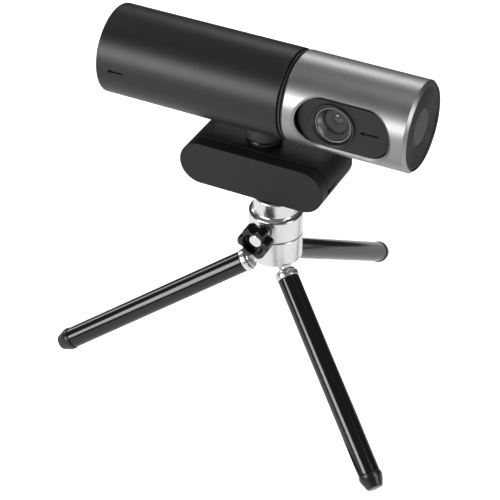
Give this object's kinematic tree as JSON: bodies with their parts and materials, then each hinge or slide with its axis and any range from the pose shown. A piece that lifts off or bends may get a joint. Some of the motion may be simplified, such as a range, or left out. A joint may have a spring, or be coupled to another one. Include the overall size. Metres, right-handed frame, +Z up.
{
  "type": "webcam on tripod",
  "caption": "Tube-shaped webcam with a black body and a silver lens end on a folding clip, held by a small silver tripod head with folding black legs.",
  "frame": {"origin": "middle of the tripod's footprint, on the surface it stands on", "axes": "+X along the camera tube towards the lens end, -Y the way the lens looks, +Z up"},
  "size_m": [0.1578, 0.1482, 0.1469],
  "materials": {
    "satin_silver": "satin turned aluminium",
    "steel": "brushed steel",
    "chrome": "polished chrome",
    "gloss_black_plastic": "gloss black plastic",
    "clip_plastic": "soft matt dark grey plastic",
    "brass": "machined brass",
    "rubber": "matt rubber",
    "gloss_black_metal": "gloss black enamel",
    "matt_black": "matt black plastic",
    "black_anodised": "bead-blasted black anodised aluminium",
    "turned_black": "black anodised with fine concentric turning marks",
    "cap_centre": "smooth dark disc",
    "circuit_board": "green solder mask",
    "blasted_silver": "bead-blasted clear anodised aluminium with polished chamfers",
    "panel_black": "dark grey flat panel",
    "bezel_black": "matt black ring",
    "cone_metal": "dark turned metal",
    "lens_glass": "coated optical glass",
    "silicon": "sensor die under glass",
    "leg_gloss_black": "gloss black paint on tube",
    "foot_rubber": "semi-gloss black rubber"
  },
  "bodies": {
    "tripod_hub": {"leg_hub": "satin_silver", "hub_spindle": "steel", "leg_pin_1": "steel", "leg_pin_2": "steel", "leg_pin_3": "steel"},
    "leg_1": {"leg_tongue_1": "steel", "leg_collar_1": "satin_silver", "leg_tube_1": "leg_gloss_black", "leg_foot_1": "foot_rubber"},
    "leg_2": {"leg_tongue_2": "steel", "leg_collar_2": "satin_silver", "leg_tube_2": "leg_gloss_black", "leg_foot_2": "foot_rubber"},
    "leg_3": {"leg_tongue_3": "steel", "leg_collar_3": "satin_silver", "leg_tube_3": "leg_gloss_black", "leg_foot_3": "foot_rubber"},
    "head": {"head_housing": "satin_silver", "clip_stud": "steel", "clip_leg": "clip_plastic", "thread_insert": "brass", "clip_leg_pad": "rubber", "clip_hinge_pin": "steel"},
    "lock": {"lock_screw": "chrome", "lock_knob": "gloss_black_plastic"},
    "clip_top": {"clip_plate": "clip_plastic", "clip_plate_pad": "rubber", "clip_lip": "clip_plastic", "clip_lip_pad": "rubber", "neck_collar": "gloss_black_metal"},
    "camera": {"neck_post": "matt_black", "neck_bolt": "steel", "neck_nut": "steel", "camera_tube": "black_anodised", "left_end_cap": "turned_black", "left_cap_centre": "cap_centre", "board_carrier": "matt_black", "main_board": "circuit_board", "main_chip": "matt_black", "port_plate": "matt_black", "usb_c_socket": "steel", "left_microphone": "steel", "seam_ring": "matt_black", "tilt_spindle": "matt_black"},
    "lens_module": {"lens_shell": "blasted_silver", "shell_bulkhead": "matt_black", "right_end_cap": "turned_black", "right_cap_centre": "cap_centre", "lens_panel": "panel_black", "lens_bezel": "bezel_black", "lens_cone": "cone_metal", "lens_glass": "lens_glass", "lens_barrel": "matt_black", "front_element": "lens_glass", "rear_element": "lens_glass", "focus_motor": "matt_black", "image_sensor": "silicon", "sensor_board": "circuit_board", "right_microphone": "steel", "lens_chassis": "matt_black"}
  },
  "joints": [
    {"name": "leg_1_fold", "type": "hinge", "parent": "tripod_hub", "child": "leg_1", "pos_m": [0.00001, -0.01874, 0.05689], "axis": [0.3746, -0.9272, 0], "range_deg": [0, 49]},
    {"name": "leg_2_fold", "type": "hinge", "parent": "tripod_hub", "child": "leg_2", "pos_m": [0.01116, -0.0203, 0.05689], "axis": [0.6157, 0.788, 0], "range_deg": [0, 49]},
    {"name": "leg_3_fold", "type": "hinge", "parent": "tripod_hub", "child": "leg_3", "pos_m": [0.00694, -0.00986, 0.05689], "axis": [-0.9903, 0.1392, 0], "range_deg": [0, 49]},
    {"name": "head_pan", "type": "hinge", "parent": "tripod_hub", "child": "head", "pos_m": [0.00604, -0.0163, 0.06759], "axis": [0, 0, 1], "continuous": true},
    {"name": "lock_turn", "type": "hinge", "parent": "head", "child": "lock", "pos_m": [0.00604, -0.0293, 0.07309], "axis": [0, -1, 0], "range_deg": [0, 360]},
    {"name": "clip_fold", "type": "hinge", "parent": "head", "child": "clip_top", "pos_m": [-0.00176, 0.0091, 0.09419], "axis": [-1, 0, 0], "range_deg": [0, 110]},
    {"name": "camera_pan", "type": "hinge", "parent": "clip_top", "child": "camera", "pos_m": [-0.00176, -0.0113, 0.10329], "axis": [0, 0, 1], "range_deg": [-175, 175]},
    {"name": "lens_tilt", "type": "hinge", "parent": "camera", "child": "lens_module", "pos_m": [0.01234, -0.0113, 0.12889], "axis": [1, 0, 0], "range_deg": [-90, 90]}
  ]
}
